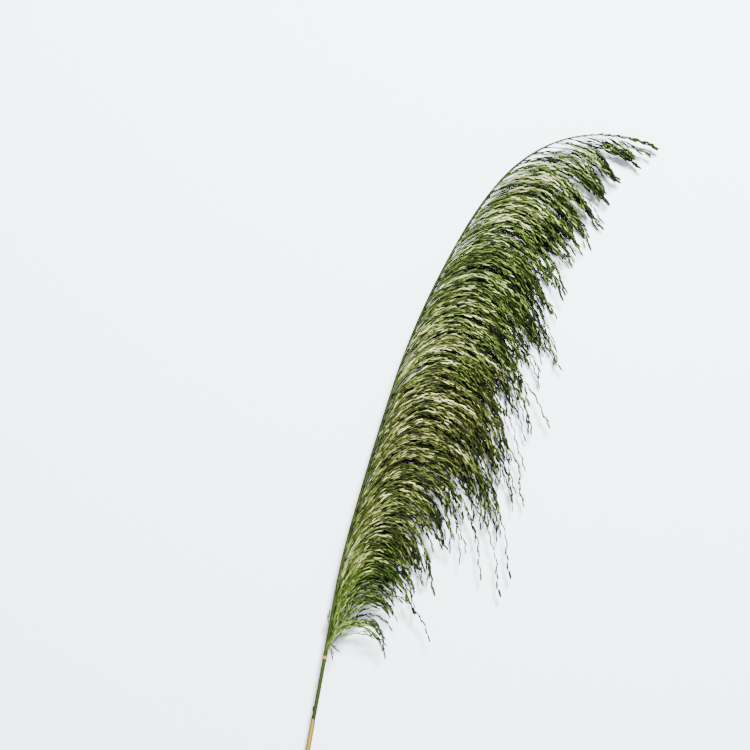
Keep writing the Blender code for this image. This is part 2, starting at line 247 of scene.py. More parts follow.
# Each kind of strand: its bare stretch, and how stout its spikelets are.
STRAND_KINDS = (
    (8 * MM, 1.0), (14 * MM, 1.0), (22 * MM, 1.0), (32 * MM, 1.0), (45 * MM, 1.0), (30 * MM, 1.2),
    (7 * MM, 1.25))
KINDS_OF_TIER = {"over": (0, 1, 2), "beside": (1, 2, 3, 4), "under": (3, 4)}
STOUT = 5
TIP_STRAND = 6
LONGEST_CM = 26


def straight_strand(draw, length, bare, stoutness):
    """A thread with spikelets: its mesh, its corners and their tone, tip and nearness to the crest,
    which carries painted light.
    """
    body = bmesh.new()
    lengthways = Matrix.Translation((0.5 * length, 0.0, 0.0)) @ Matrix.Rotation(math.pi / 2, 4, "Y")
    bmesh.ops.create_cone(
        body, cap_ends=True, segments=THREAD_SIDES, depth=length, matrix=lengthways,
        radius1=THREAD_FOOT, radius2=THREAD_END)
    long_edges = [edge for edge in body.edges if edge.calc_length() > 0.5 * length]
    bmesh.ops.subdivide_edges(
        body, edges=long_edges, cuts=round(length / THREAD_PIECE), use_grid_fill=False)
    thread_corners = len(body.verts)
    tones = []
    side = draw.choice((-1.0, 1.0))
    place = min(bare, LONGEST_BARE_SHARE * length)
    while place < length:
        out = place / length
        long = SPIKELET * draw.uniform(0.85, 1.15)
        thick = long * draw.uniform(*THICKNESS) * stoutness * (1.0 + END_THICKENING * out)
        lean = math.radians(draw.uniform(*LEAN)) * side
        roll = math.radians(draw.uniform(*ROLL))
        shape = (
            Matrix.Translation((place, 0.0, 0.0)) @ Matrix.Rotation(roll, 4, "X")
            @ Matrix.Rotation(lean, 4, "Z") @ Matrix.Translation((0.5 * long, 0.0, 0.0))
            @ Matrix.Diagonal((0.5 * long, 0.5 * thick, 0.5 * FLATNESS * thick, 1.0))
            @ Matrix.Rotation(math.pi / 2, 4, "Y"))
        bmesh.ops.create_uvsphere(
            body, u_segments=SPIKELET_SIDES, v_segments=SPIKELET_BANDS, radius=1.0, matrix=shape)
        tones.append(draw.random())
        side = -side
        place += PITCH * draw.uniform(0.75, 1.25) * (1.0 + END_SPREADING * out)
    mesh = bpy.data.meshes.new("strand")
    body.to_mesh(mesh)
    body.free()
    points = corners_of(mesh)
    husks = points[thread_corners:].reshape(-1, SPIKELET_CORNERS, 3)
    low, high = husks.min(1, keepdims=True), husks.max(1, keepdims=True)
    share = (husks - low) / (high - low)
    thread = np.ones(thread_corners)
    tone = np.concatenate((draw.random() * thread, np.repeat(tones, SPIKELET_CORNERS)))
    tip = np.concatenate((THREAD_TIP * thread, share[:, :, 0].ravel()))
    # Nearness to each husk's top, for a painted highlight there and painted shade on its sides.
    painted_light = np.concatenate((THREAD_PAINTED_LIGHT * thread, share[:, :, 2].ravel()))
    return mesh, points, tone, tip, painted_light


def corners_of(mesh):
    points = np.empty(len(mesh.vertices) * 3)
    mesh.vertices.foreach_get("co", points)
    return points.reshape(-1, 3)


straight_strands = {}
strand_draw = random.Random(11)
for centimetres in range(1, LONGEST_CM + 1):
    for kind, (bare, stoutness) in enumerate(STRAND_KINDS):
        strand = straight_strand(strand_draw, centimetres / 100, bare, stoutness)
        straight_strands[centimetres, kind] = strand
faces = [len(mesh.polygons) for mesh, *_ in straight_strands.values()]
print("straight strands:", len(faces), "faces in each:", min(faces), "to", max(faces))

# %% [markdown]
# ## Bending a straight piece along a line
#
# Blender's Curve modifier could bend the strands, but a thousand live modifiers are slow. The
# same mapping is short in numpy: the distance along the straight piece picks a point of the
# line, and the two other directions become sideways and upwards there.

# %% The bend
def bent(points, line, outs):
    """Straight points laid along a line that passes its given points at distances outs."""
    ahead = np.gradient(line, outs, axis=0)
    ahead /= np.linalg.norm(ahead, axis=1, keepdims=True)
    left = np.cross((0.0, 0.0, 1.0), ahead)
    left /= np.linalg.norm(left, axis=1, keepdims=True)
    up = np.cross(ahead, left)
    along = points[:, 0]

    def picked(rows):
        return np.column_stack([np.interp(along, outs, rows[:, i]) for i in range(3)])

    beyond = np.clip(along - outs[-1], 0.0, None)[:, None] * ahead[-1]
    return picked(line) + beyond + points[:, 1:2] * picked(left) + points[:, 2:3] * picked(up)


# %% [markdown]
# ## Locks
#
# The strands are evenly spread where they arch over, and their ends gather into locks with air
# between them. Noise on each strand alone would fill those gaps evenly, so the locks come first.
# A lock draws strands of all three tiers, and the surface shows through beside it. Each has its
# own place, length, stretch, hanging direction, tone and lift, drawn by a seeded rule.

# %% Where the locks hang
PLUME_LENGTH = 0.650
LOCK_SPACING = 21 * MM
LOCKS = []
lock_draw = random.Random(5)
place = 6 * MM
while place < PLUME_LENGTH:
    LOCKS.append((
        place, lock_draw.uniform(0.89, 1.04), lock_draw.gauss(1.0, 0.04), lock_draw.gauss(0.0, 3.0),
        lock_draw.gauss(0.0, 0.03), lock_draw.uniform(-1.5, 1.5) * MM))
    place += LOCK_SPACING * lock_draw.uniform(0.7, 1.3)
LOCKS = np.array(LOCKS)
print("locks:", len(LOCKS))

# %% [markdown]
# ## A spray
#
# On the real plume a branch leaves the axis at one root, hugs it for a while and splits into many
# strands. It could be grown as a forking tree, but the forks are hidden in the mass, so each
# strand runs from its branch's root to its own end and shares only the first stretch. Each spray
# keeps its place and its tier from the imported model. A strand follows the curve for its own
# place, waves a little, and drifts towards the nearest lock on its way out. A few are as long as
# the table says and most are shorter, so the ends thin out. The plume is dense in its middle and
# thin at its tip. The lower tiers are painted darker, as painted shade for the tiers above them.

# %% Where the branches grow
LOWEST_ROOT = 2 * MM
ROOT_SPACING = 8.5 * MM
# How far below a strand's own place its root is, and how loosely the strands leave the root.
HUG = np.array([
    (0.00, 0.004), (0.05, 0.022), (0.12, 0.030), (0.20, 0.018), (0.42, 0.012), (0.60, 0.006),
])
LOOSE = np.array([(0.00, 0.007), (0.05, 0.007), (0.10, 0.002)])
root_draw = random.Random(3)
ROOTS = np.arange(LOWEST_ROOT, PLUME_LENGTH, ROOT_SPACING)
ROOTS = np.array([root + root_draw.uniform(-1.5, 2.5) * MM for root in ROOTS])
# How far across the axis a root sits, as a share of the axis's girth.
SEATS = [root_draw.uniform(-0.6, 0.9) for root in ROOTS]
print("branches:", len(ROOTS))

# %% The line of a strand
POINT_SPACING = 3 * MM
# Along the first stretch a strand slides from its root to its own place, and starts to wave.
SLIDE_START, SLIDE_LENGTH = 8 * MM, 0.055
WAVE_START, WAVE_LENGTH = 5 * MM, 0.035
LIFT_LENGTH = 0.030
# The drift to a lock starts at this share of the reach, and takes the next share.
DRIFT_START, DRIFT_SHARE = 0.38, 0.60
STRAND_RADIUS = 0.9 * MM
LEAST_HEIGHT = 1.5 * MM


def strand_line(tier, root, place, drift_to, length, lift, wave, stretch, bend, seat=0.5):
    """The line of one strand, and the distances out of its points."""
    outs = np.append(np.arange(0.0, length - 2 * MM, POINT_SPACING), length)
    share = outs / float(at(SPRAY_REACH, place))
    places = root + (place - root) * eased((outs - SLIDE_START) / SLIDE_LENGTH)
    places = places + drift_to * eased((share - DRIFT_START) / DRIFT_SHARE)
    size, pace, phase = wave
    swing = size * np.sin(outs / pace + phase) * eased((outs - WAVE_START) / WAVE_LENGTH)
    spots = reached(places, outs, stretch, bend)
    forward = np.gradient(spots, outs, axis=0)
    forward /= np.linalg.norm(forward, axis=1, keepdims=True)
    right = np.column_stack((forward[:, 1], -forward[:, 0]))
    girth = at(GIRTH, root)
    first = girth + 0.3 * MM if tier == "beside" else seat * girth
    spots = spots + (swing + first)[:, None] * right
    height, aside = tier_height(tier, spots)
    height = height + lift * eased(aside / LIFT_LENGTH) + STRAND_RADIUS
    height += 0.5 * size * np.cos(outs / pace + phase) * eased(outs / LIFT_LENGTH)
    return np.column_stack((spots, np.maximum(height, LEAST_HEIGHT))), outs


# %% A strand with its colours
# All strands come to one tone at their ends, where the spikelets' tips are less pale.
END_TONE = 0.50
END_START, END_SHARE = 0.6, 0.3
END_PALENESS_LOSS = 0.7
SPIKELET_TONE_RANGE = 0.58
# The first stretch of a strand is darker and fresher than the rest.
ROOT_SHADE, ROOT_SHADE_LENGTH = 0.12, 0.035
ROOT_FRESHNESS, ROOT_FRESH_LENGTH = 0.5, 0.02
# The painted shade of a lower tier fades towards a strand's end, which comes out from under the
# others.
OPEN_START, OPEN_SHARE, OPEN_GAIN = 0.45, 0.4, 0.7
SURFACE_GAP = 0.05 * MM


def grow(spray, colours, line, outs, kind, looks):
    """Add a strand along a line to a spray, with what its colours need."""
    length = outs[-1]
    centimetres = min(max(round(100 * length), 1), LONGEST_CM)
    mesh, points, tone, tip, painted_light = straight_strands[centimetres, kind]
    places = bent(points, line, outs * (centimetres / 100 / length))
    places[:, 2] = np.maximum(places[:, 2], SURFACE_GAP)
    mesh.vertices.foreach_set("co", places.ravel())
    spray.from_mesh(mesh)
    along = points[:, 0]
    out = along / along.max()
    end = eased((out - END_START) / END_SHARE)
    base = looks["tone"] + end * (END_TONE - looks["tone"])
    base -= ROOT_SHADE * np.exp(-along / ROOT_SHADE_LENGTH)
    fresh = looks["fresh"] + ROOT_FRESHNESS * np.exp(-along / ROOT_FRESH_LENGTH)
    in_the_open = eased((out - OPEN_START) / OPEN_SHARE)
    colours["tone"].append(np.clip(base + SPIKELET_TONE_RANGE * (tone - 0.5), 0.0, 1.0))
    colours["tip"].append(tip * (1.0 - END_PALENESS_LOSS * end))
    colours["painted_light"].append(painted_light)
    colours["fresh"].append(np.clip(fresh, 0.0, 1.0))
    colours["ripe"].append(np.full(len(points), looks["ripe"]))
    # Painted shade of the lower tiers, less towards the strand's end.
    colours["painted_shade"].append(looks["painted_shade"] * (1.0 - OPEN_GAIN * in_the_open))


# %% Strands of one spray
SPRAY_COUNT = 33
FIRST_SPRAY = 0.007
LAST_SPRAY = 0.630
SPACING = (LAST_SPRAY - FIRST_SPRAY) / (SPRAY_COUNT - 1)
LAST_PLACE = 0.645
UPPER_PART = 0.40
# Strands in a spray, by its place on the axis, and how wide a stretch they grow from.
STRANDS = np.array([
    (0.00, 12), (0.04, 36), (0.08, 50), (0.15, 52), (0.40, 48), (0.46, 33), (0.52, 17), (0.56, 11),
    (0.64, 7),
])
TIER_SHARE = {"over": 0.85, "beside": 1.15, "under": 1.20}
SPREAD = {"over": 3.4, "beside": 2.9, "under": 2.9}
GATHER = 0.98
# How much of its reach the shortest strand lacks, and how much sooner short strands turn.
SHORTNESS = np.array([
    (0.00, 0.45), (0.06, 0.60), (0.10, 0.70), (0.22, 0.70), (0.36, 0.58), (0.44, 0.46),
    (0.51, 0.32), (0.60, 0.28),
])
SHORT_POWER = 0.38
CURL = np.array([(0.00, -0.10), (0.03, 0.30), (0.06, 0.45), (0.42, 0.45), (0.54, 0.10)])
# Tone runs from 0, dark, to 1, pale; ripeness from 0, green, to 1, olive.
# The lower tiers are given painted shade, in a lower tone and a darker colour, for the shade of the
# tiers above.
TIER_TONE_AND_SHADE = {"over": 0.62, "beside": 0.50, "under": 0.40}
TIER_PAINTED_SHADE = {"over": 0.0, "beside": 0.45, "under": 0.75}
LIGHTNESS = np.array([
    (0.00, 0.05), (0.10, 0.00), (0.18, 0.01), (0.34, 0.03), (0.44, 0.07), (0.64, 0.03),
])
RIPENESS = np.array([
    (0.00, 0.10), (0.08, 0.35), (0.16, 0.50), (0.26, 0.45), (0.34, 0.25), (0.42, 0.20),
    (0.60, 0.10),
])


def spray_strands(number, spray, colours):
    """Fill a spray with its strands, in draws that depend on its number alone."""
    place = FIRST_SPRAY + number * SPACING
    place += random.Random(7000 + number).uniform(-2.5, 2.5) * MM
    draw = random.Random(14000 + number)
    tier = TIERS[number % 3]
    count = round(float(at(STRANDS, place)) * TIER_SHARE[tier])
    spread = SPREAD[tier] * SPACING
    for strand in range(count):
        own = place + ((strand + draw.random()) / count - 0.5) * spread
        own = min(LOWEST_ROOT + abs(own - LOWEST_ROOT), LAST_PLACE)
        branch = np.abs(ROOTS + float(at(HUG, own)) - own + draw.gauss(0.0, 2.0) * MM).argmin()
        root = ROOTS[branch] + draw.uniform(0.0, float(at(LOOSE, own)))
        lock = LOCKS[np.abs(LOCKS[:, 0] - own + draw.gauss(0.0, 3.0) * MM).argmin()]
        lock_place, lock_length, lock_stretch, lock_bend, lock_tone, lock_lift = lock
        reach = float(at(SPRAY_REACH, own))
        short = float(at(SHORTNESS, own)) * draw.random() ** SHORT_POWER
        long = 1.05 - short
        drift_to = GATHER * min(0.4 + own / 0.10, 1.0) * (lock_place - own)
        drift_to += draw.gauss(0.0, 0.8 + 1.6 * short) * MM
        lift = lock_lift + draw.uniform(-2.0, 2.0) * MM
        wave = (draw.uniform(0.4, 1.8) * MM, draw.uniform(5.0, 13.0) * MM, draw.uniform(0.0, 6.3))
        stretch = lock_stretch * draw.gauss(1.0, 0.012 + 0.05 * short)
        stretch -= float(at(CURL, own)) * short
        bend = lock_bend + draw.gauss(0.0, 1.2 + 5.5 * short)
        seat = SEATS[branch] + draw.gauss(0.0, 0.15)
        length = reach * lock_length * long
        line, outs = strand_line(
            tier, root, own, drift_to, length, lift, wave, stretch, bend, seat)
        looks = {
            "tone": TIER_TONE_AND_SHADE[tier] + float(at(LIGHTNESS, own)) + lock_tone + draw.gauss(0.0, 0.12),
            "fresh": 0.9 - own / 0.09 + 0.1 * draw.gauss(0.0, 1.0),
            "ripe": float(np.clip(at(RIPENESS, own) + draw.gauss(0.0, 0.12), 0.0, 1.0)),
            "painted_shade": TIER_PAINTED_SHADE[tier],
        }
        # The longest strands are stout, and near the tip so are half of all.
        is_stout = own > 0.05 and short < 0.10 or own > 0.42 and draw.random() < 0.5
        kinds = KINDS_OF_TIER["over" if own > UPPER_PART else tier]
        kind = STOUT if is_stout else draw.choice(kinds)
        # At the very tip most strands bear spikelets almost from their root.
        kind = TIP_STRAND if own > 0.575 and draw.random() < 0.6 else kind
        grow(spray, colours, line, outs, kind, looks)


# %% [markdown]
# ## Strands with a place of their own
#
# Some strands stand out in the photograph: a few long ones that pass the others, one that strays
# over the edge, a tiny tuft and a stub at the base, and the spikelets that close the plume's
# tip. A seeded rule can't place them, so each has a row of its own, under the number of the spray
# that it grows beside.

# %% Single strands
# Of each long one: its place on the axis, length, stretch and bend.
LONG_ONES = {
    1: (0.014, 0.152, 1.45, 0.0), 6: (0.134, 0.249, 1.33, 0.0), 7: (0.146, 0.215, 1.07, 0.0),
    8: (0.166, 0.254, 1.14, 0.0), 14: (0.290, 0.210, 0.95, 15.0),
}
# Of each short one: its place, its heading at the start and at the end, and its length.
SHORT_ONES = {
    0: ((0.011, -15.0, -70.0, 0.007), (0.012, 20.0, -30.0, 0.006)),
    2: ((0.030, 118.0, 88.0, 0.010),),
}
# Of each one along the tip: its place, and how far aside it ends.
TIP_ONES = ((0.603, 0.0), (0.618, 1.5 * MM), (0.632, -0.5 * MM))
TIP_POINTS = 20
SHORT_POINTS = 5
LONG_WAVE = (0.7 * MM, 6.0 * MM, 0.0)
PLAIN_LOOKS = {"tone": 0.5, "fresh": 0.0, "ripe": 0.3, "painted_shade": 0.0}
BRIGHT_LOOKS = {"tone": 0.7, "fresh": 1.0, "ripe": 0.0, "painted_shade": 0.0}


def single_strands(number, spray, colours):
    if number in LONG_ONES:
        place, length, stretch, bend = LONG_ONES[number]
        line, outs = strand_line(
            "over", place, place, 0.0, length, 1.0 * MM, LONG_WAVE, stretch, bend)
        grow(spray, colours, line, outs, STOUT, PLAIN_LOOKS)
    for place, leaving, ending, length in SHORT_ONES.get(number, ()):
        outs = np.linspace(0.0, length, SHORT_POINTS)
        heading = np.radians(np.linspace(leaving, ending, SHORT_POINTS))
        steps = outs[1] * np.column_stack((np.cos(heading), np.sin(heading), 0.0 * heading))
        line = axis_at(np.full(SHORT_POINTS, place)) + steps.cumsum(axis=0) - steps[0]
        grow(spray, colours, line, outs, 0, BRIGHT_LOOKS)
    if number == SPRAY_COUNT - 1:
        for start, aside in TIP_ONES:
            places = np.linspace(start, AXIS_LENGTH - 1 * MM, TIP_POINTS)
            line = axis_at(places)
            line[:, 1] -= aside * eased(np.linspace(0.0, 1.0, TIP_POINTS))
            grow(spray, colours, line, places - start, TIP_STRAND, PLAIN_LOOKS)


def make_spray(number):
    spray = bmesh.new()
    colours = {title: [] for title in ("tone", "tip", "painted_light", "fresh", "ripe", "painted_shade")}
    spray_strands(number, spray, colours)
    single_strands(number, spray, colours)
    piece = add_piece(f"spikelets_{number + 1:02d}", spray)
    for title, values in colours.items():
        attribute = piece.data.attributes.new(title, "FLOAT", "POINT")
        attribute.data.foreach_set("value", np.concatenate(values))
    return piece


def add_piece(name, body):
    mesh = bpy.data.meshes.new(name)
    body.to_mesh(mesh)
    body.free()
    mesh.shade_smooth()
    piece = bpy.data.objects.new(name, mesh)
    bpy.context.scene.collection.objects.link(piece)
    return piece


# %% All sprays
sprays = [make_spray(number) for number in range(SPRAY_COUNT)]
for mesh, *_ in straight_strands.values():
    bpy.data.meshes.remove(mesh)
triangles = [sum(len(p.vertices) - 2 for p in piece.data.polygons) for piece in sprays]
print("sprays:", len(sprays), "triangles:", sum(triangles), "most in one:", max(triangles))

# %% [markdown]
# ## The stalk
#
# The culm is a smooth green stalk with a joint where the plume begins, and it goes on as the
# plume's axis. A curve with a round profile would give the tube, but not the swellings and the
# cut end. So it is a straight rod first: a cone of equal ends, cut into rings, each ring scaled
# to the stalk's girth there, and then bent along the axis. The cut end shows its pale pith inside
# the green skin, so that end is inset and pushed in a little. A small bud sits on the stalk's
# side above the sheath.

# %% Straight rods, and laying them along the axis
STALK_GIRTH = np.array([
    (-0.300, 0.00205), (-0.245, 0.00205), (-0.238, 0.00255), (-0.231, 0.00255), (-0.228, 0.00190),
    (-0.062, 0.00190), (-0.056, 0.00208), (-0.006, 0.00208), (-0.002, 0.00240), (0.0015, 0.00235),
    (0.005, 0.00210), (0.060, 0.00205), (0.180, 0.00180), (0.400, 0.00150), (0.520, 0.00130),
    (0.600, 0.00085), (0.640, 0.00050), (0.679, 0.00022),
])
STALK_SIDES = 14
STALK_RINGS = 326


def straight_rod(length, rings, sides):
    """A rod along X from the origin, of radius 1, cut into rings."""
    body = bmesh.new()
    lengthways = Matrix.Translation((0.5 * length, 0.0, 0.0)) @ Matrix.Rotation(math.pi / 2, 4, "Y")
    bmesh.ops.create_cone(
        body, cap_ends=True, segments=sides, depth=length, matrix=lengthways, radius1=1.0,
        radius2=1.0)
    long_edges = [
        edge for edge in body.edges
        if abs(edge.verts[0].co.x - edge.verts[1].co.x) > 0.5 * length]
    bmesh.ops.subdivide_edges(body, edges=long_edges, cuts=rings, use_grid_fill=False)
    return body


def lay_along_axis(piece, start, straight):
    """Bend a straight piece along the axis, and keep its straight corners as an attribute."""
    attribute = piece.data.attributes.new("straight", "FLOAT_VECTOR", "POINT")
    attribute.data.foreach_set("vector", straight.ravel())
    places = straight[:, 0] + start
    end = min(places.max(), AXIS_LENGTH)
    rows = np.linspace(start, end, round((end - start) / MM) + 1)
    line = axis_at(rows)
    piece.data.vertices.foreach_set("co", bent(straight, line, rows - start).ravel())


# %% The stalk
PITH_SHARE = 0.72
PITH_DEPTH = 0.4 * MM
PITH_RADIUS = 1.7 * MM
BUD = (0.2460, 0.0018, 0.0004)
BUD_ANGLE = 0.25
BUD_HALVES = (3.4 * MM, 1.0 * MM, 0.9 * MM)

stalk_body = straight_rod(STALK_LENGTH + AXIS_LENGTH, STALK_RINGS, STALK_SIDES)
cut_end = [face for face in stalk_body.faces if face.calc_center_median().x < 0.01 * MM]
bmesh.ops.inset_region(stalk_body, faces=cut_end, thickness=1.0 - PITH_SHARE, depth=-PITH_DEPTH)
for corner in stalk_body.verts:
    corner.co.yz *= float(at(STALK_GIRTH, corner.co.x - STALK_LENGTH))
bud_shape = (
    Matrix.Translation(BUD) @ Matrix.Rotation(BUD_ANGLE, 4, "Z")
    @ Matrix.Diagonal((*BUD_HALVES, 1.0)) @ Matrix.Rotation(math.pi / 2, 4, "Y"))
bmesh.ops.create_uvsphere(
    stalk_body, u_segments=10, v_segments=8, radius=1.0, matrix=bud_shape)
stalk = add_piece("culm", stalk_body)
straight = corners_of(stalk.data)
from_middle = np.hypot(straight[:, 1], straight[:, 2])
is_pith = (straight[:, 0] < 1 * MM) & (from_middle < PITH_RADIUS)
pith_mark = stalk.data.attributes.new("pith", "FLOAT", "POINT")
pith_mark.data.foreach_set("value", is_pith.astype(float))
lay_along_axis(stalk, -STALK_LENGTH, straight)
stalk.data.set_sharp_from_angle(angle=math.radians(50.0))
print("stalk faces:", len(stalk.data.polygons))

# %% [markdown]
# ## The dry sheath
#
# The base of a leaf clasps the stalk. It has dried to straw and ends in a slanted mouth. A plain
# tube would hide that it is a leaf wound round the stalk, so it is made as the leaf is: a flat
# grid first, rolled so that one edge laps over the other, then given its thickness.

# %% The rolled sheath
SHEATH_FOOT = -0.2288
SHEATH_MOUTH = -0.0675
ROLL_START, ROLL_TURN = -110.0, 400.0
INNER_RADIUS, LAP = 2.02, 0.30
MOUTH_SLANT, MOUTH_WAVE = 7.0 * MM, 1.2 * MM
LEAF_THICKNESS = 0.18 * MM

sheath_body = bmesh.new()
bmesh.ops.create_grid(sheath_body, x_segments=60, y_segments=26, size=0.5)
sheath_length = SHEATH_MOUTH - SHEATH_FOOT
for corner in sheath_body.verts:
    share, round_share = corner.co.x + 0.5, corner.co.y + 0.5
    angle = math.radians(ROLL_START + ROLL_TURN * round_share)
    radius = (INNER_RADIUS + LAP * round_share) * MM
    mouth = MOUTH_SLANT * (0.5 + 0.5 * math.cos(angle)) + MOUTH_WAVE * math.sin(5.0 * angle)
    x = share * sheath_length + mouth * share ** 12
    corner.co = (x, radius * math.cos(angle), radius * math.sin(angle))
bmesh.ops.recalc_face_normals(sheath_body, faces=sheath_body.faces[:])
bmesh.ops.solidify(sheath_body, geom=sheath_body.faces[:], thickness=LEAF_THICKNESS)
bmesh.ops.recalc_face_normals(sheath_body, faces=sheath_body.faces[:])
sheath = add_piece("dry_sheath", sheath_body)
lay_along_axis(sheath, SHEATH_FOOT, corners_of(sheath.data))
sheath.data.set_sharp_from_angle(angle=math.radians(40.0))
print("sheath faces:", len(sheath.data.polygons))

# %% [markdown]
# ## Materials
#
# All three finishes are plant matter with no metal in it and an index of refraction near 1.45.
# The culm has a waxy skin, so it is a little glossy; the husks and the dry sheath are papery and
# dull. A picture of real husks could be wrapped on, but the husks are a pixel wide, so tone, tip
# and nearness to the crest kept at their corners do as well and stay sharp at any distance. Each
# piece has a painted highlight on its top, and the husks have painted shade on their sides and in
# the lower tiers. Colours are written as on screen, and one function turns them to the linear
# values that Blender mixes.

# %% Helpers for materials
def linear(hex_colour):
    screen = [int(hex_colour[i:i + 2], 16) / 255.0 for i in (1, 3, 5)]
    return [c / 12.92 if c <= 0.04045 else ((c + 0.055) / 1.055) ** 2.4 for c in screen] + [1.0]


def new_material(name, roughness, specular=0.4):
    material = bpy.data.materials.new(name)
    material.use_nodes = True
    shader = material.node_tree.nodes["Principled BSDF"]
    shader.inputs["Roughness"].default_value = roughness
    shader.inputs["Metallic"].default_value = 0.0
    shader.inputs["IOR"].default_value = 1.45
    shader.inputs["Specular IOR Level"].default_value = specular
    return material, shader


def add_node(material, kind, settings=None, **links):
    """A node with its settings; links give an input's name and a socket or a plain value."""
    node = material.node_tree.nodes.new(kind)
    for key, value in (settings or {}).items():
        setattr(node, key, value)
    for key, value in links.items():
        is_number = key[1:].isdigit()
        socket = node.inputs[int(key[1:]) if is_number else key.replace("_", " ")]
        if isinstance(value, bpy.types.NodeSocket):
            material.node_tree.links.new(value, socket)
        else:
            socket.default_value = value
    return node


def ramp(material, factor, stops):
    node = add_node(material, "ShaderNodeValToRGB", Fac=factor)
    elements = node.color_ramp.elements
    while len(elements) < len(stops):
        elements.new(0.5)
    for element, (place, colour) in zip(elements, stops):
        element.position = place
        element.color = linear(colour)
    return node.outputs["Color"]


# %% Spikelets: green husks with pale tips, olive where they ripen
# The tone gives each husk its own green. Its top is painted lighter and its sides darker, as a
# painted highlight and painted shade, and the lower tiers get painted shade for the shade inside
# the plume.
spikelet, shader = new_material("green reed spikelets, grown", roughness=0.60, specular=0.10)
seen = {
    name: add_node(spikelet, "ShaderNodeAttribute", {"attribute_name": name}).outputs["Fac"]
    for name in ("tone", "tip", "painted_light", "fresh", "ripe", "painted_shade")}
green = ramp(spikelet, seen["tone"], (
    (0.00, "#040B01"), (0.35, "#0D1B02"), (0.60, "#2A410D"), (0.80, "#627935"), (1.00, "#C8D390")))
olive = ramp(spikelet, seen["tone"], (
    (0.00, "#080801"), (0.35, "#171603"), (0.60, "#3A390D"), (0.80, "#716C33"), (1.00, "#C8C288")))
young = ramp(spikelet, seen["tone"], ((0.0, "#0D1F02"), (0.5, "#2B4608"), (1.0, "#788E32")))
grown = add_node(
    spikelet, "ShaderNodeMix", {"data_type": "RGBA"}, _0=seen["ripe"], _6=green, _7=olive)
fresh = add_node(
    spikelet, "ShaderNodeMix", {"data_type": "RGBA"}, _0=seen["fresh"], _6=grown.outputs[2],
    _7=young)
pale = add_node(
    spikelet, "ShaderNodeMapRange", Value=seen["tip"], From_Min=0.40, From_Max=0.90, To_Min=0.0,
    To_Max=0.55)
tipped = add_node(
    spikelet, "ShaderNodeMix", {"data_type": "RGBA"}, _0=pale.outputs["Result"],
    _6=fresh.outputs[2], _7=linear("#C9CE92"))
# Painted highlight and painted shade: a husk's top is made brighter and its sides darker.
painted_light_gain = add_node(
    spikelet, "ShaderNodeMapRange", Value=seen["painted_light"], From_Min=0.50, From_Max=1.0, To_Min=0.15,
    To_Max=1.20)
# Painted shade: strands of the lower tiers are made darker.
hidden = add_node(
    spikelet, "ShaderNodeMapRange", Value=seen["painted_shade"], From_Min=0.0, From_Max=1.0, To_Min=1.0,
    To_Max=0.14)
shade = add_node(
    spikelet, "ShaderNodeMath", {"operation": "MULTIPLY"}, _0=painted_light_gain.outputs["Result"],
    _1=hidden.outputs["Result"])
shaded = add_node(
    spikelet, "ShaderNodeVectorMath", {"operation": "SCALE"}, _0=tipped.outputs[2],
    Scale=shade.outputs[0])
spikelet.node_tree.links.new(shaded.outputs["Vector"], shader.inputs["Base Color"])

# %% Stalk: a waxy green skin with fine veins along it, and a painted highlight on its top
# Nine veins to 10 mm across, with two finer sizes in them, each some 80 mm long. They give the
# skin its faint streaks. A tan ring marks the joint, and the pith shows on the cut end.
CULM_ACROSS, CULM_ALONG = 9 / (10 * MM), 12 / (1000 * MM)
culm, shader = new_material("green culm, waxy skin", roughness=0.42, specular=0.15)
straight_place = add_node(culm, "ShaderNodeAttribute", {"attribute_name": "straight"})
straight_at = straight_place.outputs["Vector"]
parts = add_node(culm, "ShaderNodeSeparateXYZ", Vector=straight_at).outputs
vein_space = add_node(
    culm, "ShaderNodeMapping", Vector=straight_at, Scale=(CULM_ALONG, CULM_ACROSS, CULM_ACROSS))
veins = add_node(
    culm, "ShaderNodeTexNoise", Vector=vein_space.outputs["Vector"], Scale=1.0, Detail=3.0)
skin = ramp(culm, veins.outputs["Fac"], ((0.3, "#080F01"), (0.5, "#101A03"), (0.7, "#1A2607")))
# Painted highlight: the top of the thicker stalk is mixed towards a lighter green.
painted_light = add_node(
    culm, "ShaderNodeMapRange", Value=parts["Z"], From_Min=0.0014, From_Max=0.0021, To_Min=0.0,
    To_Max=0.55)
lit = add_node(
    culm, "ShaderNodeMix", {"data_type": "RGBA"}, _0=painted_light.outputs["Result"], _6=skin,
    _7=linear("#34440F"))
from_joint = add_node(
    culm, "ShaderNodeMath", {"operation": "SUBTRACT"}, _0=parts["X"], _1=STALK_LENGTH)
distance = add_node(culm, "ShaderNodeMath", {"operation": "ABSOLUTE"}, _0=from_joint.outputs[0])
ring = add_node(
    culm, "ShaderNodeMapRange", Value=distance.outputs[0], From_Min=0.0010, From_Max=0.0018,
    To_Min=1.0, To_Max=0.0)
ringed = add_node(
    culm, "ShaderNodeMix", {"data_type": "RGBA"}, _0=ring.outputs["Result"], _6=lit.outputs[2],
    _7=linear("#8A6C30"))
pith = add_node(culm, "ShaderNodeAttribute", {"attribute_name": "pith"}).outputs["Fac"]
cut = add_node(
    culm, "ShaderNodeMix", {"data_type": "RGBA"}, _0=pith, _6=ringed.outputs[2],
    _7=linear("#C4B98A"))
culm.node_tree.links.new(cut.outputs[2], shader.inputs["Base Color"])

